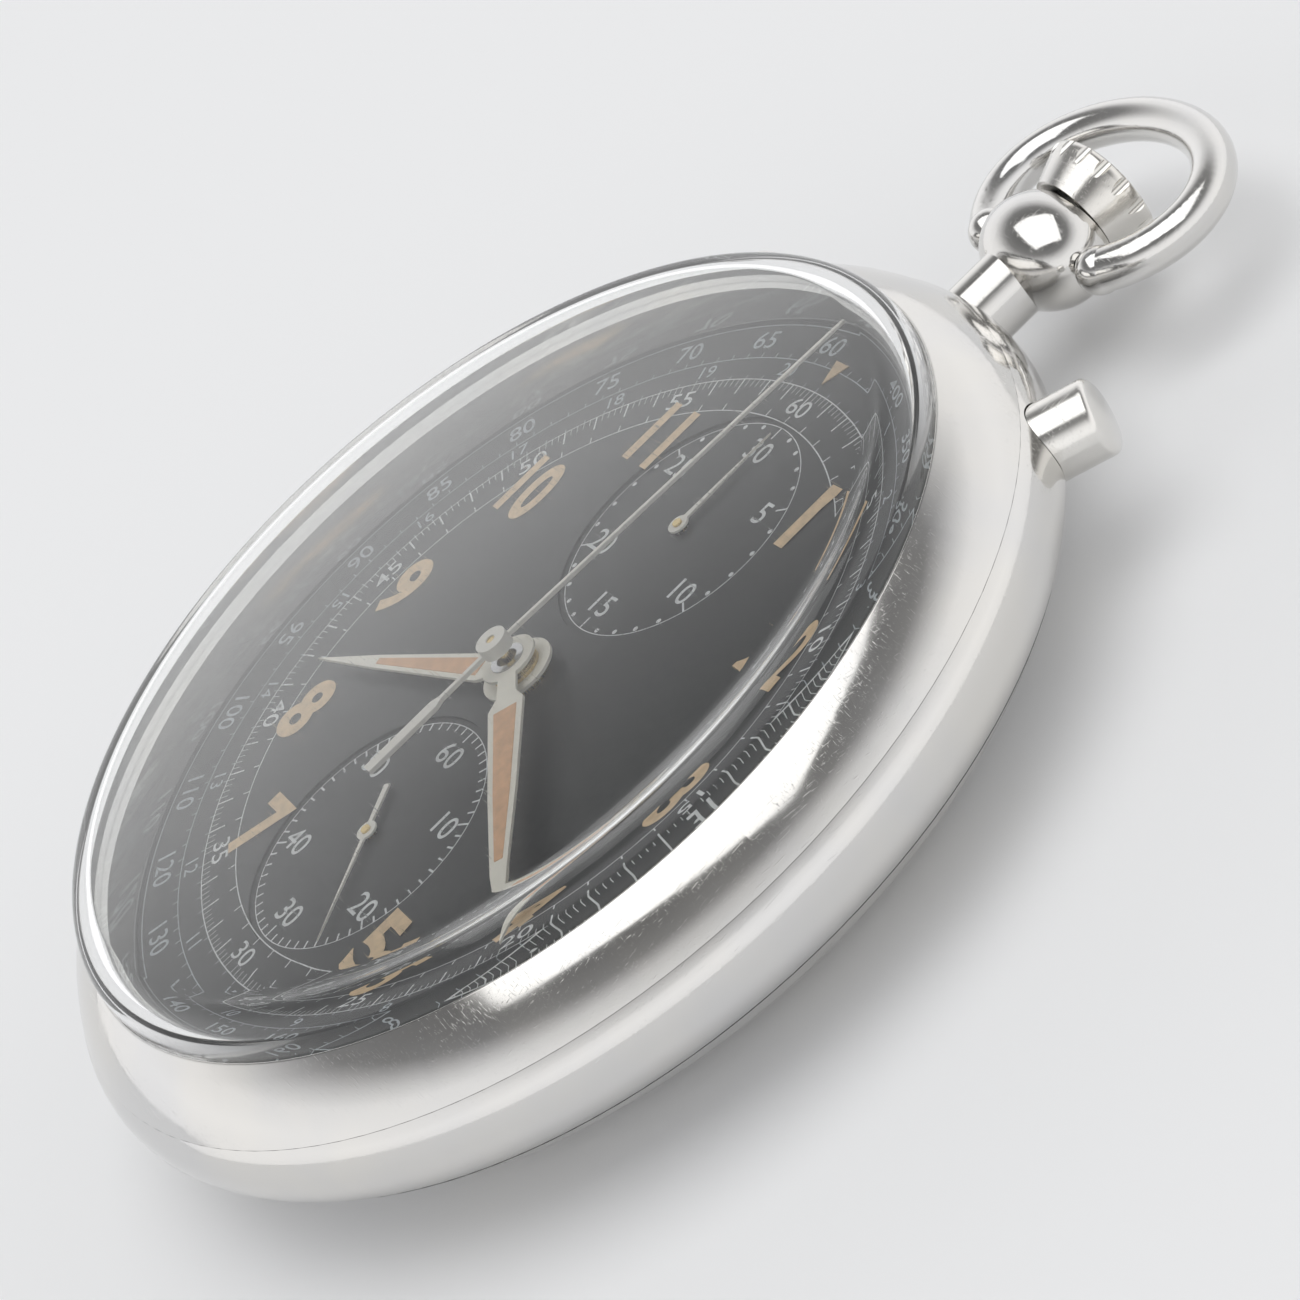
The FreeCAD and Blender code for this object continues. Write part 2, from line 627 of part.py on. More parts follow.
def make_mainplate():
    plate = new_body("mainplate")
    turned(plate, [("0", "plate_low"), ("movement_radius", "plate_low"), ("movement_radius", "6.32"),
                   ("20.85", "6.32"), ("20.85", "plate_top"), ("0", "plate_top")])
    posts(plate, "2.25", "plate_low - 2.25", [
        (*COLUMNS, "0.8"), (*START_PIVOT, "0.8")])
    posts(plate, "1.2", "1.2", [(*COLUMNS, "0.3"), (*START_PIVOT, "0.3")])
    slab(plate, "4", "1.4", [(-1.0, 9.7), (1.0, 9.7), (1.0, 10.95), (-1.0, 10.95)])
    drill(plate, "plate_top", "1.05", [("0", "0", "7")])
    posts(plate, "5.6", "1", [(*MINUTE_STUD, "0.35")])
    through = "plate_top - plate_low + 0.4"
    drill(plate, "plate_top + 0.2", through, [
        ("0", "0", "0.5 + running_fit"), (*SECONDS, "arbor + running_fit"),
        (*MINUTES, "arbor + running_fit")])
    drill(plate, "plate_low + 0.45", "0.6", [
        (*spot, "pivot + running_fit") for spot in (THIRD, ESCAPE, PALLETS, BALANCE)])
    drill(plate, "5.95", "0.8", [(*BARREL, "0.6 + running_fit")])
    screws = BARREL_FEET + TRAIN_FEET + [COCK_FOOT, PALLET_FOOT] + CASE_SCREWS
    drill(plate, "6.05", "0.9", [(*spot, "0.42") for spot in screws])
    drill(plate, "plate_top + 0.2", "1.45", [(*spot, "0.38") for spot in DIAL_FEET])
    slot(plate, "plate_top + 0.2", through, (0.0, 14.85), 90.0, 3.75, 2.1)
    slot(plate, "5.42", "0.3", (0.0, 19.8), 90.0, 1.4, 0.6)
    for angle in (57.5, 122.5):
        slot(plate, "plate_top + 0.2", through, polar(19.85, angle), angle, 1.75, 1.5)
    sketch = sketch_on(plate, "XZ_Plane", "-9.6")
    circles(sketch, [("0", "stem_height", "0.28")])
    pocket(plate, sketch, "1.4")


def jewel_seats(body, spots):
    drill(body, "2.62", "0.4", [(*spot, "0.58") for spot in spots])


def make_bridges():
    thick = "bridge_top - bridge_low"
    foot = "plate_low - bridge_top"
    above = "plate_low + 0.1"
    start = polar(18.2, -12.0)
    stop = polar(18.2, 115.0)
    barrel = new_body("barrel_bridge")
    slab(barrel, "bridge_low", thick, [
        (*start, "18.2"), stop, (-4.6, 10.3), (-2.2, 7.0), (0.1, 5.6), (0.5, 4.2), (1.7, 1.9),
        (2.7, -2.2), (8.5, -4.9)])
    posts(barrel, "bridge_top", foot, [(*spot, "1") for spot in BARREL_FEET])
    for spot, radius in ((BARREL, "5.3"), (BETWEEN, "3.1"), (CLICK, "2.25")):
        drill(barrel, "2.75", "0.6", [(*spot, radius)])
    drill(barrel, "3.15", "1", [(*CROWN_WHEEL, "3.8")])
    slot(barrel, "3.6", "1.5", (0.0, 17.5), 90.0, 1.4, 2.1)
    drill(barrel, "3.6", "1.5", [(*BARREL, "0.6 + running_fit"), (*MINUTES, "arbor + running_fit")])
    posts(barrel, "2.33", "1", [(*CROWN_WHEEL, "1.2"), (*BETWEEN, "0.8"), (*CLICK, "0.3")])
    posts(barrel, "1.3", "1.2", [(*RESET_PIVOT, "0.3")])
    posts(barrel, "1.9", "0.6", [(*RESET_PIVOT, "0.8")])
    drill(barrel, "2.9", "0.8", [(*TRANSFER, "pivot + running_fit")])
    drill(barrel, above, "3.2", [(*spot, "0.42") for spot in BARREL_FEET])

    start = polar(18.2, 200.0)
    stop = polar(18.2, 268.0)
    train = new_body("train_bridge")
    slab(train, "bridge_low", thick, [
        (*start, "18.2"), stop, (1.4, -16.6), (4.7, -13.4), (4.6, -10.8), (2.2, -7.6), (1.2, -1.6),
        (1.2, 0.9), (-0.6, 1.4), (-5.5, -0.6), (-12.0, -2.6)])
    posts(train, "bridge_top", foot, [(*spot, "1") for spot in TRAIN_FEET])
    drill(train, "3.6", "1.5", [("0", "0", "0.5 + running_fit")])
    drill(train, "3.6", "1.5", [(*spot, "0.4") for spot in (THIRD, ESCAPE, SECONDS)])
    jewel_seats(train, (THIRD, ESCAPE, SECONDS))
    drill(train, above, "3.2", [(*spot, "0.42") for spot in TRAIN_FEET])

    cock = new_body("balance_cock")
    bar(cock, "bridge_low", "0.7", [BALANCE, COCK_FOOT], 2.6)
    posts(cock, "2.9", "plate_low - 2.9", [(*COCK_FOOT, "1.2")])
    posts(cock, "2.9", "0.4", [(BALANCE[0] + 2.75, BALANCE[1] + 1.0, "0.22")])
    drill(cock, "3.2", "1", [(*BALANCE, "0.4")])
    jewel_seats(cock, (BALANCE,))
    drill(cock, above, "3.2", [(*COCK_FOOT, "0.42")])

    pallets = new_body("pallet_bridge")
    bar(pallets, "3.95", "0.35", [PALLETS, PALLET_FOOT], 1.6)
    posts(pallets, "4.2", "plate_low - 4.2", [(*PALLET_FOOT, "0.9")])
    drill(pallets, "4.5", "1", [(*PALLETS, "pivot + running_fit")])
    drill(pallets, above, "1.6", [(*PALLET_FOOT, "0.42")])

    chrono = new_body("chronograph_bridge")
    bar(chrono, "0.8", "0.3", [CHRONO_FEET[0], CENTRE, TRANSFER, MINUTES, CHRONO_FEET[1]], 1.5)
    posts(chrono, "1", "bridge_low - 1", [(*spot, "0.65") for spot in CHRONO_FEET])
    drill(chrono, "1.2", "0.5", [(*spot, "pivot + running_fit")
                                 for spot in (CENTRE, TRANSFER, MINUTES)])

    jewels = new_body("jewels")
    spots = (THIRD, ESCAPE, SECONDS, BALANCE)
    posts(jewels, "bridge_low + 0.01", "0.3", [(*spot, "0.57") for spot in spots])
    drill(jewels, "2.7", "0.6", [(*spot, "pivot + running_fit") for spot in spots if spot != SECONDS])
    drill(jewels, "2.7", "0.6", [(*SECONDS, "arbor + running_fit")])

    screws = new_body("bridge_screws")
    spots = BARREL_FEET + TRAIN_FEET + [COCK_FOOT]
    posts(screws, "bridge_low", "3.7", [(*spot, "0.4") for spot in spots])
    posts(screws, "1.9", "0.4", [(*spot, "0.8") for spot in spots])
    for spot in spots:
        slot(screws, "2.08", "0.3", spot, 30.0, 1.0, 0.12)
    small = new_body("pallet_bridge_screw")
    posts(small, "3.97", "2", [(*PALLET_FOOT, "0.4")])
    slot(small, "4.1", "0.3", PALLET_FOOT, 60.0, 0.6, 0.08)
    case = new_body("case_screws")
    posts(case, "4.7", "1.3", [(*spot, "0.4") for spot in CASE_SCREWS])
    posts(case, "4.3", "0.48", [(*spot, "1.1") for spot in CASE_SCREWS])
    for spot in CASE_SCREWS:
        slot(case, "4.45", "0.3", spot, 45.0, 1.3, 0.15)


# ---------------------------------------------------------------- going train

def make_barrel():
    drum = new_body("barrel", BARREL)
    posts(drum, "3.8", "1.35", [("0", "0", "7.3")])
    toothed(drum, "4.8", "0.3", 80, 0.19, TURNS["barrel"])
    drill(drum, "4.9", "1.1", [("0", "0", "6.95")])
    drill(drum, "5.2", "0.4", [("0", "0", "0.6 + running_fit")])
    cover = new_body("barrel_cover", BARREL)
    posts(cover, "3.8", "0.15", [("0", "0", "6.93")])
    drill(cover, "3.95", "0.15", [("0", "0", "0.6 + running_fit")])
    core = new_body("barrel_arbor", BARREL)
    staff(core, [("0.6", "2.34", "5.9"), ("1.2", "3.98", "4.87")])
    spring = new_body("mainspring", BARREL)
    coil(spring, "4", "0.8", 1.32, 6.6, 10, 0.12)


def coil(body, level, height, inner, outer, turns, thickness):
    """A flat spiral of half circles, wound out from the inner radius."""
    step = (outer - inner) / turns
    inside, outside = [], []
    for half in range(2 * turns + 1):
        reach = inner + half * step / 2
        side = 1 if half % 2 == 0 else -1
        shift = step / 4 if half % 2 else 0.0
        inside.append((side * reach + shift, shift))
        outside.append((side * (reach + thickness) + shift, shift))
    points = []
    for half in range(2 * turns):
        reach = abs(outside[half][0] - outside[half + 1][0]) / 2
        points.append((outside[half][0], 0.0, reach))
    points.append((outside[-1][0], 0.0))
    for half in range(2 * turns, 0, -1):
        reach = abs(inside[half][0] - inside[half - 1][0]) / 2
        points.append((inside[half][0], 0.0, -reach))
    points.append((inside[0][0], 0.0))
    slab(body, level, height, points)


def make_train():
    centre = new_body("centre_wheel")
    toothed(centre, "3.5", "0.2", 80, 0.13, TURNS["centre"])
    windows(centre, "3.5", "0.2", 5, 3.0, "1.3")
    staff(centre, [("0.5", "2.34", "8")])
    toothed(centre, "4.7", "0.45", 10, 0.19, TURNS["centre_pinion"])
    drill(centre, "8.1", "5.9", [("0", "0", "0.3")])

    cannon = new_body("cannon_pinion")
    staff(cannon, [("0.83", "5.9", "8.5")])
    toothed(cannon, "5.95", "0.3", 10, 0.19, TURNS["cannon"])
    drill(cannon, "8.6", "3", [("0", "0", "0.51")])

    minute = new_body("minute_wheel", MINUTE_STUD)
    toothed(minute, "5.95", "0.25", 30, 0.19, TURNS["minute"])
    toothed(minute, "6.2", "0.4", 8, 0.19, TURNS["minute_pinion"])
    drill(minute, "6.7", "1", [("0", "0", "0.35 + running_fit")])

    hour = new_body("hour_wheel")
    toothed(hour, "6.35", "0.2", 32, 0.19, TURNS["hour"])
    staff(hour, [("1.15", "6.35", "7.95")])
    drill(hour, "8", "2", [("0", "0", "0.83 + 0.05")])

    third = new_body("third_wheel", THIRD)
    toothed(third, "4.85", "0.2", 75, 0.12, TURNS["third"])
    windows(third, "4.85", "0.2", 5, 2.6, "1.1")
    staff(third, [("0.3", "3.3", "5.15"), ("pivot", "2.34", "5.7")])
    toothed(third, "3.45", "0.35", 10, 0.13, TURNS["third_pinion"])

    fourth = new_body("fourth_wheel", SECONDS)
    toothed(fourth, "4", "0.2", 80, 0.1, TURNS["fourth"])
    windows(fourth, "4", "0.2", 5, 2.3, "0.95")
    staff(fourth, [("arbor", "1.25", "7.45")])
    toothed(fourth, "4.8", "0.35", 10, 0.12, TURNS["fourth_pinion"])

    escape = new_body("escape_wheel", ESCAPE)
    toothed(escape, "4.45", "0.2", 15, 0.266, TURNS["escape"])
    staff(escape, [("0.2", "3.3", "5"), ("pivot", "2.34", "5.7")])
    toothed(escape, "3.95", "0.4", 8, 0.1, TURNS["escape_pinion"])


def make_escapement():
    fork = new_body("pallet_fork")
    line = heading(ESCAPE, PALLETS)
    stones = []
    for side in (-1, 1):
        tip = polar(2.72, line + side * 30.0)
        stones.append((ESCAPE[0] + tip[0], ESCAPE[1] + tip[1]))
    bar(fork, "4.45", "0.2", [stones[0], PALLETS, stones[1]], 0.28)
    ux, uy = polar(1.0, line)
    bar(fork, "4.45", "0.2", [PALLETS, (PALLETS[0] + 1.45 * ux, PALLETS[1] + 1.45 * uy)], 0.26)
    posts(fork, "4.4", "0.5", [(*PALLETS, "0.3")])
    posts(fork, "4", "1.65", [(*PALLETS, "pivot")])

    balance = new_body("balance_wheel", BALANCE)
    posts(balance, "3.45", "0.4", [("0", "0", "4.8")])
    drill(balance, "3.9", "0.5", [("0", "0", "4.2")])
    posts(balance, "3.45", "0.3", [("0", "0", "0.7")])
    for angle in (0.0, 120.0, 240.0):
        bar(balance, "3.5", "0.2", [(0.0, 0.0), polar(4.4, angle)], 0.4)
    staff(balance, [("0.25", "3.05", "5.1"), ("0.1", "2.34", "5.7"), ("0.6", "4.45", "4.65")])
    spring = new_body("hairspring", BALANCE)
    coil(spring, "3.1", "0.18", 0.34, 2.6, 7, 0.05)


# ---------------------------------------------------------------- winding work

def make_winding():
    crown = new_body("crown_wheel", CROWN_WHEEL)
    toothed(crown, "2.35", "0.4", 35, 0.2, TURNS["crown"])
    posts(crown, "2.7", "0.3", [("0", "0", "3.25")])
    drill(crown, "3", "0.28", [("0", "0", "2.5")])
    sketch = sketch_on(crown, "XY_Plane", "3")
    outline(sketch, [(-0.12, 2.4), (0.12, 2.4), (0.16, 3.4), (-0.16, 3.4)])
    repeat(crown, pocket(crown, sketch, "0.2"), 36, sketch)
    drill(crown, "3.1", "1", [("0", "0", "1.2 + running_fit")])
    between = new_body("intermediate_winding_wheel", BETWEEN)
    toothed(between, "2.35", "0.35", 28, 0.2, TURNS["between"])
    drill(between, "2.8", "0.6", [("0", "0", "0.8 + running_fit")])
    ratchet = new_body("ratchet_wheel", BARREL)
    toothed(ratchet, "2.35", "0.35", 50, 0.2, TURNS["ratchet"])
    drill(ratchet, "2.8", "0.6", [("0", "0", "0.61")])
    click = new_body("click")
    nose = polar(5.75, -26.0)
    bar(click, "2.35", "0.3", [CLICK, (BARREL[0] + nose[0], BARREL[1] + nose[1])], 0.5)
    posts(click, "2.35", "0.3", [(*CLICK, "0.6")])
    drill(click, "2.7", "0.5", [(*CLICK, "0.3 + running_fit")])


# ---------------------------------------------------------------- chronograph work

def heart(body, level):
    """The heart cam that sends a counter back to zero."""
    reach = [0.5 + 0.7 * abs(step - 8) / 8 for step in range(16)]
    slab(body, level, "0.3", [polar(radius, 22.5 * step) for step, radius in enumerate(reach)])


def make_chronograph():
    driver = new_body("chronograph_driving_wheel", SECONDS)
    toothed(driver, "1.95", "0.2", 72, 0.08, TURNS["driver"])
    windows(driver, "1.95", "0.2", 4, 1.7, "0.6")
    drill(driver, "2.2", "0.4", [("0", "0", "arbor + 0.01")])

    runner = new_body("chronograph_runner")
    toothed(runner, "1.95", "0.2", 84, 0.08)
    windows(runner, "1.95", "0.2", 5, 2.2, "0.8")
    heart(runner, "1.45")
    staff(runner, [("arbor", "1.2", "9.6"), ("pivot", "0.85", "1.3"), ("0.24", "1.6", "2.1")])

    recorder = new_body("minute_recorder", MINUTES)
    toothed(recorder, "1.95", "0.2", 65, 0.08, TURNS["recorder"])
    windows(recorder, "1.95", "0.2", 4, 1.6, "0.6")
    heart(recorder, "1.45")
    staff(recorder, [("arbor", "1.2", "7.45"), ("pivot", "0.85", "1.3")])

    transfer = new_body("minute_transfer_wheel", TRANSFER)
    toothed(transfer, "1.95", "0.2", 35, 0.08, TURNS["transfer"])
    staff(transfer, [("0.2", "1.3", "2.25"), ("pivot", "0.85", "2.8")])

    lever = new_body("coupling_lever")
    bar(lever, "1.45", "0.3", [COUPLING, SECONDS, (-7.5, -3.0), (-9.8, 5.6)], 1.0)
    posts(lever, "1.6", "0.6", [(*COUPLING, "0.2")])
    drill(lever, "1.9", "0.6", [(*SECONDS, "arbor + running_fit")])
    wheel = new_body("coupling_wheel", COUPLING)
    toothed(wheel, "1.95", "0.2", 38, 0.08, TURNS["coupling"])
    drill(wheel, "2.2", "0.4", [("0", "0", "0.2 + running_fit")])

    columns = new_body("column_wheel", COLUMNS)
    toothed(columns, "1.5", "0.25", 12, 0.31)
    posts(columns, "1.7", "0.5", [(*polar(1.3, 60.0 * index), "0.3") for index in range(6)])
    drill(columns, "2.3", "1", [("0", "0", "0.3 + running_fit")])

    # Levers under the two buttons: a bent-up tab, a pivot and a working arm.
    start = new_body("operating_lever")
    bar(start, "1.6", "0.25", [START_TAB, START_PIVOT, (-11.85, 9.0)], 0.6)
    reset = new_body("reset_hammer")
    bar(reset, "1.6", "0.25", [RESET_TAB, RESET_PIVOT, (1.5, 2.9)], 0.6)
    bar(reset, "1.6", "0.25", [RESET_PIVOT, (1.6, 12.0)], 0.6)
    for lever, tab, pivot in ((start, START_TAB, START_PIVOT), (reset, RESET_TAB, RESET_PIVOT)):
        across = heading((0.0, 0.0), tab) + 90.0
        ux, uy = polar(0.6, across)
        bar(lever, "1.65", "4.85", [(tab[0] - ux, tab[1] - uy), (tab[0] + ux, tab[1] + uy)], 0.4)
        posts(lever, "1.6", "0.25", [(*pivot, "0.7")])
        drill(lever, "2", "0.8", [(*pivot, "0.3 + running_fit")])


# How far each wheel is turned so that the teeth of every pair meet.
TURNS = {"barrel": 0.0, "centre": 0.0, "cannon": 0.0, "minute_pinion": 0.0, "third": 0.0,
         "fourth": 0.0, "escape": 0.0, "crown": 0.0, "driver": 0.0, "recorder": 0.0}
for name, count, follower, follower_count, spots in [
    ("barrel", 80, "centre_pinion", 10, (BARREL, CENTRE)),
    ("centre", 80, "third_pinion", 10, (CENTRE, THIRD)),
    ("third", 75, "fourth_pinion", 10, (THIRD, SECONDS)),
    ("fourth", 80, "escape_pinion", 8, (SECONDS, ESCAPE)),
    ("cannon", 10, "minute", 30, (CENTRE, MINUTE_STUD)),
    ("minute_pinion", 8, "hour", 32, (MINUTE_STUD, CENTRE)),
    ("crown", 35, "between", 28, (CROWN_WHEEL, BETWEEN)),
    ("between", 28, "ratchet", 50, (BETWEEN, BARREL)),
    ("driver", 72, "coupling", 38, (SECONDS, COUPLING)),
    ("recorder", 65, "transfer", 35, (MINUTES, TRANSFER)),
]:
    TURNS[follower] = meshed(TURNS[name], count, *spots, follower_count)

for make in (make_case, make_bow, make_crown_and_stem, make_buttons, make_dial, make_hands,
             make_mainplate, make_bridges, make_barrel, make_train, make_escapement, make_winding,
             make_chronograph):
    make()
doc.recompute()

os.makedirs("parts", exist_ok=True)
for item in doc.Objects:
    if "Invalid" in item.State or "Error" in item.State:
        raise RuntimeError("%s is not made: %s" % (item.Label, item.State))
for label, item in parts.items():
    if item.Shape.isNull() or not item.Shape.isValid() or not item.Shape.Solids:
        raise RuntimeError("%s has no sound shape" % label)
    item.Shape.exportStep("parts/%s.step" % label)
print("%d pieces written" % len(parts))
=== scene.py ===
"""Studio view of a two-button pocket chronograph: dial printing, luminous filling and finishes."""
import math

import bmesh
import bpy
from mathutils import Matrix, Vector


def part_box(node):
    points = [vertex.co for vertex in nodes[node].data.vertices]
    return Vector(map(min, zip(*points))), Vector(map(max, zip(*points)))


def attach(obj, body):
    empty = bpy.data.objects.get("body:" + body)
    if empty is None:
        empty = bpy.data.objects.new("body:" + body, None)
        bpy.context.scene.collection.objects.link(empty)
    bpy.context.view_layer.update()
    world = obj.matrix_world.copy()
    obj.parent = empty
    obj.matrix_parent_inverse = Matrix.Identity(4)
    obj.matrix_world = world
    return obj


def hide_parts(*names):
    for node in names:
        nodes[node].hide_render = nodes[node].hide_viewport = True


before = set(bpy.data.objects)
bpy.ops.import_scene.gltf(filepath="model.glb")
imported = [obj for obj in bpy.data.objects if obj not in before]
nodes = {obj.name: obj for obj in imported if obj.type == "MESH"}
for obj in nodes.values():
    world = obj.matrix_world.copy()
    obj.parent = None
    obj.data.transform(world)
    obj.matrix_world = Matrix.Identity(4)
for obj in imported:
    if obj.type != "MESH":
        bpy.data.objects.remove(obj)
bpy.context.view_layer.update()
MM = 0.001


# ---------------------------------------------------------------- materials

def new_material(name, color, roughness, metallic=0.0):
    """A material and its shader node."""
    material = bpy.data.materials.new(name)
    material.use_nodes = True
    shader = material.node_tree.nodes["Principled BSDF"]
    shader.inputs["Base Color"].default_value = (*color, 1)
    shader.inputs["Roughness"].default_value = roughness
    shader.inputs["Metallic"].default_value = metallic
    return material, shader


def texture(material, kind, scale, stretch=(1, 1, 1), detail=4.0, turn=(0, 0, 0)):
    """A noise or cell texture in millimetres over the piece, stretched along the axes."""
    tree = material.node_tree
    place = tree.nodes.new("ShaderNodeTexCoord")
    mapping = tree.nodes.new("ShaderNodeMapping")
    mapping.inputs["Scale"].default_value = [1000 * factor for factor in stretch]
    mapping.inputs["Rotation"].default_value = turn
    tree.links.new(place.outputs["Object"], mapping.inputs["Vector"])
    node = tree.nodes.new(kind)
    node.inputs["Scale"].default_value = scale
    if "Detail" in node.inputs:
        node.inputs["Detail"].default_value = detail
    tree.links.new(mapping.outputs["Vector"], node.inputs["Vector"])
    return node.outputs[0]


def between(material, source, low, high, out_low, out_high):
    """A value carried from one span to another."""
    node = material.node_tree.nodes.new("ShaderNodeMapRange")
    for index, value in zip((1, 2, 3, 4), (low, high, out_low, out_high)):
        node.inputs[index].default_value = value
    material.node_tree.links.new(source, node.inputs[0])
    return node.outputs[0]


def tint(material, source, dark, light):
    """A colour between two, chosen by a value from 0 to 1."""
    node = material.node_tree.nodes.new("ShaderNodeMix")
    node.data_type = "RGBA"
    node.inputs[6].default_value = (*dark, 1)
    node.inputs[7].default_value = (*light, 1)
    material.node_tree.links.new(source, node.inputs[0])
    return node.outputs[2]


def bump(material, shader, sources):
    """Chained bumps: (height output, strength, distance in millimetres)."""
    tree = material.node_tree
    last = None
    for height, strength, distance in sources:
        node = tree.nodes.new("ShaderNodeBump")
        node.inputs["Strength"].default_value = strength
        node.inputs["Distance"].default_value = distance * MM
        tree.links.new(height, node.inputs["Height"])
        if last:
            tree.links.new(last, node.inputs["Normal"])
        last = node.outputs["Normal"]
    tree.links.new(last, shader.inputs["Normal"])


def polished_steel(name, color, rough_low, rough_high, scratch, dents):
    """Worn bright steel: cloudy sheen, hair scratches two ways, and a few small dents."""
    material, shader = new_material(name, color, rough_low, 1.0)
    link = material.node_tree.links.new
    cloud = texture(material, "ShaderNodeTexNoise", 0.35, detail=6)
    link(between(material, cloud, 0.35, 0.7, rough_low, rough_high), shader.inputs["Roughness"])
    warm = texture(material, "ShaderNodeTexNoise", 0.12, detail=3)
    warmer = (color[0], color[1] * 0.985, color[2] * 0.95)
    darker = tuple(value * 0.93 for value in color)
    link(tint(material, between(material, warm, 0.4, 0.65, 0, 1), warmer, darker),
         shader.inputs["Base Color"])
    one = texture(material, "ShaderNodeTexNoise", 1.0, (0.6, 22, 6), 8, (0.3, 0.2, 0.5))
    two = texture(material, "ShaderNodeTexNoise", 1.0, (18, 0.7, 9), 8, (0.1, 0.5, -0.3))
    pits = texture(material, "ShaderNodeTexVoronoi", 0.55)
    bump(material, shader, [
        (between(material, one, 0.62, 0.75, 0, 1), scratch, 0.02),
        (between(material, two, 0.64, 0.75, 0, 1), scratch, 0.02),
        (between(material, pits, 0.0, 0.10, 0, 1), dents, 0.05)])
    return material


def plain_metal(name, color, roughness, grain):
    """A movement part: grained along its axes, with a slightly uneven tone."""
    material, shader = new_material(name, color, roughness, 1.0)
    link = material.node_tree.links.new
    lines = texture(material, "ShaderNodeTexNoise", 1.2, grain, 6)
    link(between(material, lines, 0.3, 0.7, roughness * 0.8, roughness * 1.3),
         shader.inputs["Roughness"])
    tone = texture(material, "ShaderNodeTexNoise", 0.8, detail=3)
    link(tint(material, tone, tuple(value * 0.82 for value in color), color),
         shader.inputs["Base Color"])
    bump(material, shader, [(lines, 0.12, 0.01)])
    return material


def painted(name, color, roughness, speck, bumpy=0.3):
    """Paint, print, stone or rubber: speckled down to a share of its colour, finely grained."""
    material, shader = new_material(name, color, roughness)
    link = material.node_tree.links.new
    tone = texture(material, "ShaderNodeTexNoise", 2.2, detail=8)
    link(tint(material, between(material, tone, 0.35, 0.7, 0, 1),
              tuple(value * speck for value in color), color), shader.inputs["Base Color"])
    link(between(material, tone, 0.3, 0.7, roughness * 0.85, min(1.0, roughness * 1.2)),
         shader.inputs["Roughness"])
    fine = texture(material, "ShaderNodeTexNoise", 9.0, detail=5)
    bump(material, shader, [(fine, bumpy, 0.01)])
    return material


case_steel = polished_steel("case_steel", (0.72, 0.715, 0.71), 0.06, 0.15, 0.12, 0.12)
bow_steel = polished_steel("bow_steel", (0.74, 0.735, 0.73), 0.08, 0.16, 0.12, 0.2)
crown_steel = polished_steel("crown_steel", (0.76, 0.75, 0.735), 0.14, 0.26, 0.2, 0.2)
button_steel = polished_steel("button_steel", (0.80, 0.795, 0.785), 0.12, 0.24, 0.2, 0.2)
hand_paint = painted("hand_paint", (0.86, 0.83, 0.74), 0.45, 0.94)
small_hand = painted("small_hand_paint", (0.86, 0.84, 0.77), 0.45, 0.94)
chrono_paint = painted("chronograph_hand_paint", (0.84, 0.82, 0.76), 0.4, 0.94)
lume = painted("aged_lume", (0.80, 0.50, 0.31), 0.8, 0.82, 0.8)
figure_lume = painted("figure_lume", (0.80, 0.61, 0.40), 0.85, 0.8, 0.8)
print_white = painted("dial_print", (0.74, 0.76, 0.76), 0.6, 0.85)
print_grey = painted("outer_print", (0.50, 0.54, 0.57), 0.65, 0.85)
dial_black = painted("dial_lacquer", (0.030, 0.032, 0.034), 0.42, 0.75, 0.25)
plate_metal = plain_metal("nickel_plate", (0.72, 0.69, 0.63), 0.28, (1, 16, 1))
brass = plain_metal("gilt_brass", (0.80, 0.62, 0.30), 0.25, (20, 20, 1))
wheel_steel = plain_metal("hardened_steel", (0.60, 0.60, 0.61), 0.2, (14, 14, 1))
spring_steel = plain_metal("blued_spring", (0.16, 0.22, 0.42), 0.22, (1, 40, 1))
screw_steel = plain_metal("screw_steel", (0.48, 0.49, 0.52), 0.18, (18, 18, 1))
ruby = painted("ruby", (0.50, 0.02, 0.08), 0.12, 0.8, 0.05)
rubber = painted("seal_rubber", (0.03, 0.03, 0.03), 0.7, 0.8, 0.5)

crystal, glass = new_material("crystal_acrylic", (0.985, 0.99, 0.985), 0.0)
glass.inputs["Transmission Weight"].default_value = 1.0
glass.inputs["IOR"].default_value = 1.47
hair = texture(crystal, "ShaderNodeTexNoise", 1.0, (0.5, 24, 2), 8, (0, 0, 0.6))
bump(crystal, glass, [(between(crystal, hair, 0.66, 0.75, 0, 1), 0.04, 0.008)])

finishes = [
    (case_steel, "back_cover case_band bezel pendant"),
    (bow_steel, "bow"), (crown_steel, "crown"), (button_steel, "start_stop_button reset_button"),
    (crystal, "crystal"), (dial_black, "dial"), (hand_paint, "hour_hand minute_hand"),
    (small_hand, "running_seconds_hand minute_counter_hand"), (chrono_paint, "chronograph_hand"),
    (plate_metal, "mainplate barrel_bridge train_bridge balance_cock pallet_bridge "
                  "chronograph_bridge"),
    (brass, "barrel centre_wheel third_wheel fourth_wheel minute_wheel hour_wheel balance_wheel "
            "chronograph_driving_wheel chronograph_runner minute_recorder minute_transfer_wheel "
            "coupling_wheel"),
    (spring_steel, "mainspring hairspring start_stop_spring reset_spring"),
    (screw_steel, "bridge_screws pallet_bridge_screw case_screws"),
    (ruby, "jewels"), (rubber, "crown_seal")]
chosen = {name: material for material, names in finishes for name in names.split()}
for name, node in nodes.items():
    node.data.materials.clear()
    node.data.materials.append(chosen.get(name, wheel_steel))
    node.data.shade_smooth()
    node.data.set_sharp_from_angle(angle=math.radians(25))


# ---------------------------------------------------------------- printing and luminous filling

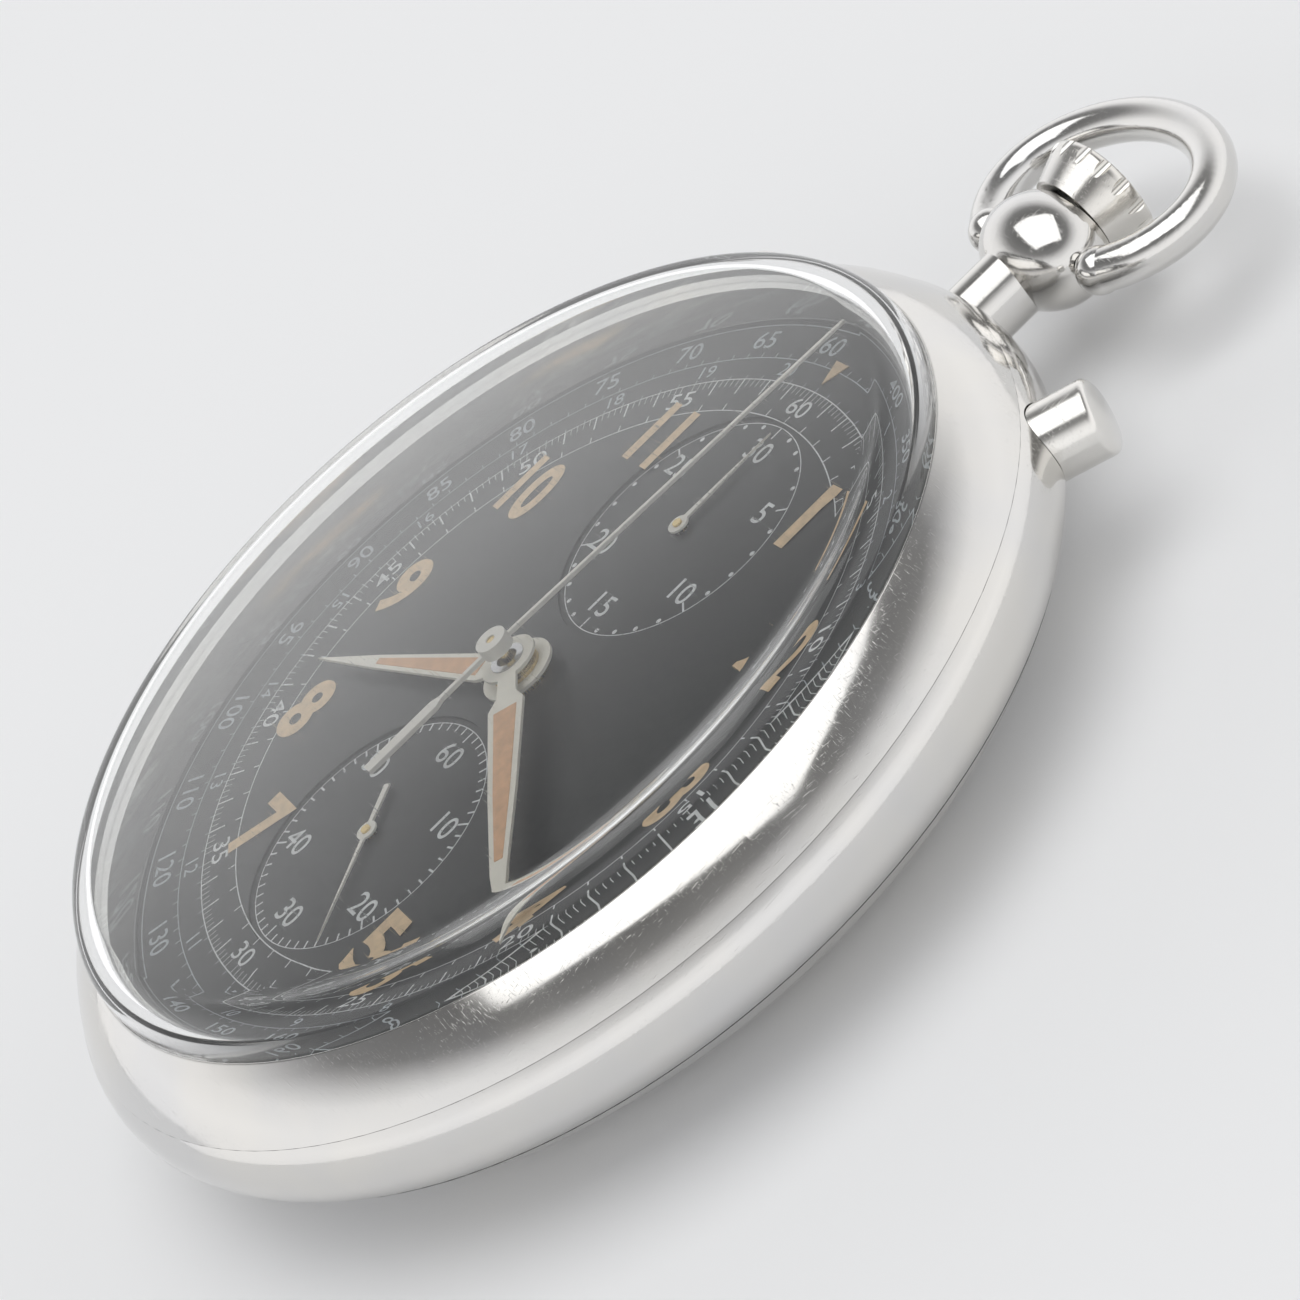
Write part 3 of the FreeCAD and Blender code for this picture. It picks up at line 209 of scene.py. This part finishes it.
def polar(radius, clockwise):
    """A point at a radius and an angle in degrees clockwise from 12 o'clock."""
    angle = math.radians(clockwise)
    return Vector((radius * math.sin(angle), radius * math.cos(angle), 0))


def add_circle(mesh, centre, radius, sides):
    return [mesh.verts.new(centre + polar(radius, 360 * k / sides)) for k in range(sides)]


def add_ring(mesh, centre, radius, width, sides=240):
    """A printed circle of a given line width."""
    inner = add_circle(mesh, centre, radius - width / 2, sides)
    outer = add_circle(mesh, centre, radius + width / 2, sides)
    for k in range(sides):
        j = (k + 1) % sides
        mesh.faces.new((inner[k], inner[j], outer[j], outer[k]))


def add_tick(mesh, centre, clockwise, inner, outer, width):
    """A printed line between two radii."""
    along = polar(1, clockwise)
    across = polar(1, clockwise + 90) * width / 2
    corners = (centre + along * inner - across, centre + along * outer - across,
               centre + along * outer + across, centre + along * inner + across)
    mesh.faces.new([mesh.verts.new(corner) for corner in corners])


def add_dot(mesh, centre, radius, sides=16):
    mesh.faces.new([mesh.verts.new(centre + polar(radius, -360 * k / sides)) for k in range(sides)])


def add_text(mesh, words, centre, height, turn=0.0, bold=0.0, widen=1.0):
    """Figures of a given height, centred on a point and turned clockwise."""
    curve = bpy.data.curves.new("figure", "FONT")
    curve.body = words
    curve.size = 1.0
    curve.align_x = "CENTER"
    curve.offset = bold
    curve.resolution_u = 6
    thing = bpy.data.objects.new("figure", curve)
    bpy.context.scene.collection.objects.link(thing)
    bpy.context.view_layer.update()
    flat = bpy.data.meshes.new_from_object(thing.evaluated_get(
        bpy.context.evaluated_depsgraph_get()))
    low = min(vertex.co.y for vertex in flat.vertices)
    high = max(vertex.co.y for vertex in flat.vertices)
    left = min(vertex.co.x for vertex in flat.vertices)
    right = max(vertex.co.x for vertex in flat.vertices)
    scale = height / (high - low)
    flat.transform(
        Matrix.Translation(centre) @ Matrix.Rotation(-math.radians(turn), 4, "Z")
        @ Matrix.Diagonal((scale * widen, scale, 1, 1))
        @ Matrix.Translation((-(left + right) / 2, -(low + high) / 2, 0)))
    mesh.from_mesh(flat)
    bpy.data.objects.remove(thing)
    bpy.data.curves.remove(curve)
    bpy.data.meshes.remove(flat)


def settle(mesh, name, height, material, body, thick=0.0):
    """Turn the gathered flat shapes, in millimetres, into one piece at a height."""
    data = bpy.data.meshes.new(name)
    if thick:
        done = bmesh.ops.extrude_face_region(mesh, geom=mesh.faces[:])
        raised = [item for item in done["geom"] if isinstance(item, bmesh.types.BMVert)]
        bmesh.ops.translate(mesh, vec=(0, 0, thick), verts=raised)
        bmesh.ops.recalc_face_normals(mesh, faces=mesh.faces[:])
    mesh.to_mesh(data)
    mesh.free()
    data.transform(Matrix.Diagonal((MM, MM, MM, 1)) @ Matrix.Translation((0, 0, height)))
    data.materials.append(material)
    piece = bpy.data.objects.new(name, data)
    bpy.context.scene.collection.objects.link(piece)
    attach(piece, body)
    return piece


# The crystal's section, in millimetres: a shoulder rounds the upright wall into a low dome.
CRYSTAL_WALL = 1.1
SHOULDER = 2.0
SHOULDER_STARTS = 10.35
DOME = 180.0
PROFILE_STEPS = 24
CRYSTAL_SIDES = 256


def crystal_profile(radius, foot, top, shell):
    """Half section of the crystal's outer face, or of its inner one when shell is its thickness."""
    hub = radius - SHOULDER
    lean = math.asin(hub / (DOME - SHOULDER))
    curve, roof = SHOULDER - shell, DOME - shell
    points = [(radius - shell, foot), (radius - shell, SHOULDER_STARTS)]
    for step in range(1, PROFILE_STEPS + 1):
        angle = (math.pi / 2 - lean) * step / PROFILE_STEPS
        points.append((hub + curve * math.cos(angle), SHOULDER_STARTS + curve * math.sin(angle)))
    for step in range(1, PROFILE_STEPS + 1):
        angle = lean * (1 - step / PROFILE_STEPS)
        points.append((roof * math.sin(angle), top - shell - roof * (1 - math.cos(angle))))
    return points


def make_crystal():
    """The same crystal as the frame's, with a finer mesh for clean refraction."""
    low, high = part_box("crystal")
    radius, foot, top = high.y * 1000, low.z * 1000, high.z * 1000
    outside = crystal_profile(radius, foot, top, 0.0)
    inside = crystal_profile(radius, foot, top, CRYSTAL_WALL)
    mesh = bmesh.new()
    rows = []
    for reach, height in outside + inside[::-1]:
        if reach < 1e-6:
            rows.append([mesh.verts.new((0, 0, height))] * CRYSTAL_SIDES)
        else:
            rows.append(add_circle(mesh, Vector((0, 0, height)), reach, CRYSTAL_SIDES))
    for one, two in zip(rows, rows[1:] + rows[:1]):
        for k in range(CRYSTAL_SIDES):
            j = (k + 1) % CRYSTAL_SIDES
            corners = []
            for vertex in (one[k], one[j], two[j], two[k]):
                if vertex not in corners:
                    corners.append(vertex)
            if len(corners) > 2:
                mesh.faces.new(corners)
    bmesh.ops.recalc_face_normals(mesh, faces=mesh.faces[:])
    piece = settle(mesh, "crystal_dome", 0.0, crystal, "body")
    piece.data.shade_smooth()
    piece.data.set_sharp_from_angle(angle=math.radians(40))
    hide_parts("crystal")


make_crystal()

MIDDLE = Vector((0, 0, 0))
COUNTER = Vector((0, 9.25, 0))
SECONDS = Vector((0, -9.25, 0))
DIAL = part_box("dial")[1].z * 1000
SUNK = DIAL - 0.12
INK = 0.012

# Radii of the printing on the dial and on a small dial, and widths of its lines.
FIGURES_AT = 14.3
TRACK_INNER, TRACK_FIGURES, TRACK_OUTER = 15.55, 16.5, 17.45
SPIRAL_FIGURES = 18.15
SPEED_INNER, SPEED_FIGURES, SPEED_OUTER = 18.75, 19.85, 20.75
SMALL_FIGURES, SMALL_EDGE = 4.7, 6.1
HAIR, FINE, THIN, MEDIUM, BOLD = 0.04, 0.05, 0.06, 0.07, 0.09


def readable(clockwise):
    """Turn for a figure that follows its circle and stands upright in the lower half too."""
    return clockwise + (180 if 95 < clockwise < 265 else 0)


# Main figures, upright, in aged luminous paint; 12 and 6 give way to the small dials.
figures = bmesh.new()
for hour in (1, 2, 3, 4, 5, 7, 8, 9, 10, 11):
    add_text(figures, str(hour), polar(FIGURES_AT, 30 * hour), 3.5, bold=0.035,
             widen=0.8 if hour > 9 else 0.95)
settle(figures, "hour_figures", DIAL + 0.04, figure_lume, "body")

# The minute track: two lines, a tick for each second with fine fifths, and small figures.
track = bmesh.new()
add_ring(track, MIDDLE, TRACK_INNER, THIN)
add_ring(track, MIDDLE, TRACK_OUTER, THIN)
for fifth in range(300):
    under_figure = fifth > 0 and fifth % 25 == 0
    if not under_figure:
        whole = fifth % 5 == 0
        add_tick(track, MIDDLE, fifth * 1.2, 16.55 if whole else 17.0, TRACK_OUTER,
                 BOLD if whole else HAIR)
for minute in range(5, 65, 5):
    add_text(track, str(minute), polar(TRACK_FIGURES, minute * 6), 0.95, readable(minute * 6),
             bold=0.004, widen=1.25)
for minute in range(60):
    add_tick(track, MIDDLE, minute * 6, TRACK_INNER, TRACK_INNER + 0.4, MEDIUM)
settle(track, "minute_track", DIAL + INK, print_white, "body")

# Two outer scales of round numbers.
outer = bmesh.new()
add_ring(outer, MIDDLE, SPEED_INNER, FINE)
add_ring(outer, MIDDLE, SPEED_OUTER, THIN)
for mark in range(120):
    add_tick(outer, MIDDLE, mark * 3, SPEED_INNER, SPEED_INNER + 0.3, FINE)
for mark in range(100):
    add_tick(outer, MIDDLE, mark * 3.6, TRACK_OUTER, TRACK_OUTER + 0.25, FINE)
SPEEDS = [400, 350, 300, 260, 240, 220, 200, 190, 180, 170, 160, 150, 140, 130, 120, 110, 100, 95,
          90, 85, 80, 75, 70, 65, 60]
for index, speed in enumerate(SPEEDS):
    clockwise = 14 + index * 14.2
    add_text(outer, str(speed), polar(SPEED_FIGURES, clockwise), 1.05, readable(clockwise),
             bold=0.004, widen=1.05)
for index in range(1, 21):
    clockwise = index * 17.5
    add_text(outer, str(index), polar(SPIRAL_FIGURES, clockwise), 0.75, readable(clockwise),
             widen=1.1)
settle(outer, "outer_scales", DIAL + INK, print_grey, "body")

# The small dials: the counter's single minutes are dots, the seconds are ticks.
small = bmesh.new()
for centre, labels, divisions in ((COUNTER, (30, 5, 10, 15, 20, 25), 30),
                                  (SECONDS, (60, 10, 20, 30, 40, 50), 60)):
    add_ring(small, centre, SMALL_EDGE, FINE)
    for mark in range(divisions):
        numbered = mark % (divisions // 6) == 0
        if centre is COUNTER and not numbered:
            add_dot(small, centre + polar(5.9, mark * 12), 0.13)
        else:
            add_tick(small, centre, mark * 360 / divisions, 5.45 if numbered else 5.7, SMALL_EDGE,
                     0.1)
    for index, label in enumerate(labels):
        add_text(small, str(label), centre + polar(SMALL_FIGURES, index * 60), 1.15, bold=0.006,
                 widen=1.1)
settle(small, "small_dial_print", SUNK + INK, print_white, "body")

arrow = bmesh.new()
corners = ((0, 17.9, 0), (0.55, 19.2, 0), (-0.55, 19.2, 0))
arrow.faces.new([arrow.verts.new(corner) for corner in corners])
settle(arrow, "twelve_mark", DIAL + 0.015, figure_lume, "body", 0.05)


def filling(name, node, clockwise, body, rows):
    """Luminous filling laid on a hand: rows of (distance, half width) from the hub outwards."""
    mesh = bmesh.new()
    along, across = polar(1, clockwise), polar(1, clockwise + 90)
    right = [along * reach + across * half for reach, half in rows]
    left = [along * reach - across * half for reach, half in reversed(rows)]
    mesh.faces.new([mesh.verts.new(spot) for spot in right + left])
    settle(mesh, name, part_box(node)[1].z * 1000, lume, body, 0.03)


HOUR_HAND_AT, MINUTE_HAND_AT = 250, 120
filling("hour_hand_lume", "hour_hand", HOUR_HAND_AT, "hour_body", [(2.5, 0.5), (10.2, 0.16)])
filling("minute_hand_lume", "minute_hand", MINUTE_HAND_AT, "centre_body",
        [(3.5, 0.58), (9, 0.42), (13.2, 0.2)])


# ---------------------------------------------------------------- studio

floor_mesh = bpy.data.meshes.new("floor")
floor_mesh.from_pydata([(-3, -3, 0), (3, -3, 0), (3, 3, 0), (-3, 3, 0)], [], [(0, 1, 2, 3)])
floor = bpy.data.objects.new("floor", floor_mesh)
floor.location.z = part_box("back_cover")[0].z - 0.00002
bpy.context.scene.collection.objects.link(floor)
paper, sheen = new_material("floor_paper", (0.90, 0.905, 0.91), 0.7)
sheen.inputs["Specular IOR Level"].default_value = 0.2
floor_mesh.materials.append(paper)

world = bpy.data.worlds.new("studio")
bpy.context.scene.world = world
world.use_nodes = True
sky = world.node_tree
place = sky.nodes.new("ShaderNodeTexCoord")
parts = sky.nodes.new("ShaderNodeSeparateXYZ")
ramp = sky.nodes.new("ShaderNodeValToRGB")
sky.links.new(place.outputs["Generated"], parts.inputs[0])
sky.links.new(parts.outputs["Z"], ramp.inputs[0])
# Brightness by height, from the horizon to straight up: a white tent with a darker ring above.
stops = [(0.0, 0.95), (0.22, 1.0), (0.42, 0.92), (0.54, 0.66), (0.68, 0.24), (0.86, 0.16),
         (1.0, 0.5)]
while len(ramp.color_ramp.elements) < len(stops):
    ramp.color_ramp.elements.new(0.5)
for element, (spot, value) in zip(ramp.color_ramp.elements, stops):
    element.position = spot
    element.color = (value, value, value * 1.01, 1)
background = sky.nodes["Background"]
sky.links.new(ramp.outputs[0], background.inputs[0])
background.inputs[1].default_value = 1.12

overhead = bpy.data.lights.new("overhead", "AREA")
overhead.shape = "RECTANGLE"
overhead.size, overhead.size_y, overhead.energy = 2.0, 2.0, 17.0
lamp = bpy.data.objects.new("overhead", overhead)
bpy.context.scene.collection.objects.link(lamp)
lamp.location = (0.05, 0.1, 1.8)
lamp.rotation_mode = "QUATERNION"
lamp.rotation_quaternion = (-Vector(lamp.location)).to_track_quat("-Z", "Y")

# The camera looks down across the 3 o'clock side, close in, with 12 o'clock to the upper right.
camera_data = bpy.data.cameras.new("camera")
camera = bpy.data.objects.new("camera", camera_data)
bpy.context.scene.collection.objects.link(camera)
camera_data.sensor_width = 36
camera_data.lens = 96.9
camera_data.clip_start = 0.005
right = Vector((0.41428, 0.70731, -0.57279))
up = Vector((-0.28243, 0.69817, 0.65786))
forward = Vector((-0.86522, 0.11077, -0.48901))
turn = Matrix((right, up, -forward)).transposed()
camera.matrix_world = Matrix.Translation(Vector((130.2, -11.86, 78.02)) * MM) @ turn.to_4x4()
bpy.context.scene.camera = camera
bpy.context.scene.view_settings.view_transform = "Standard"
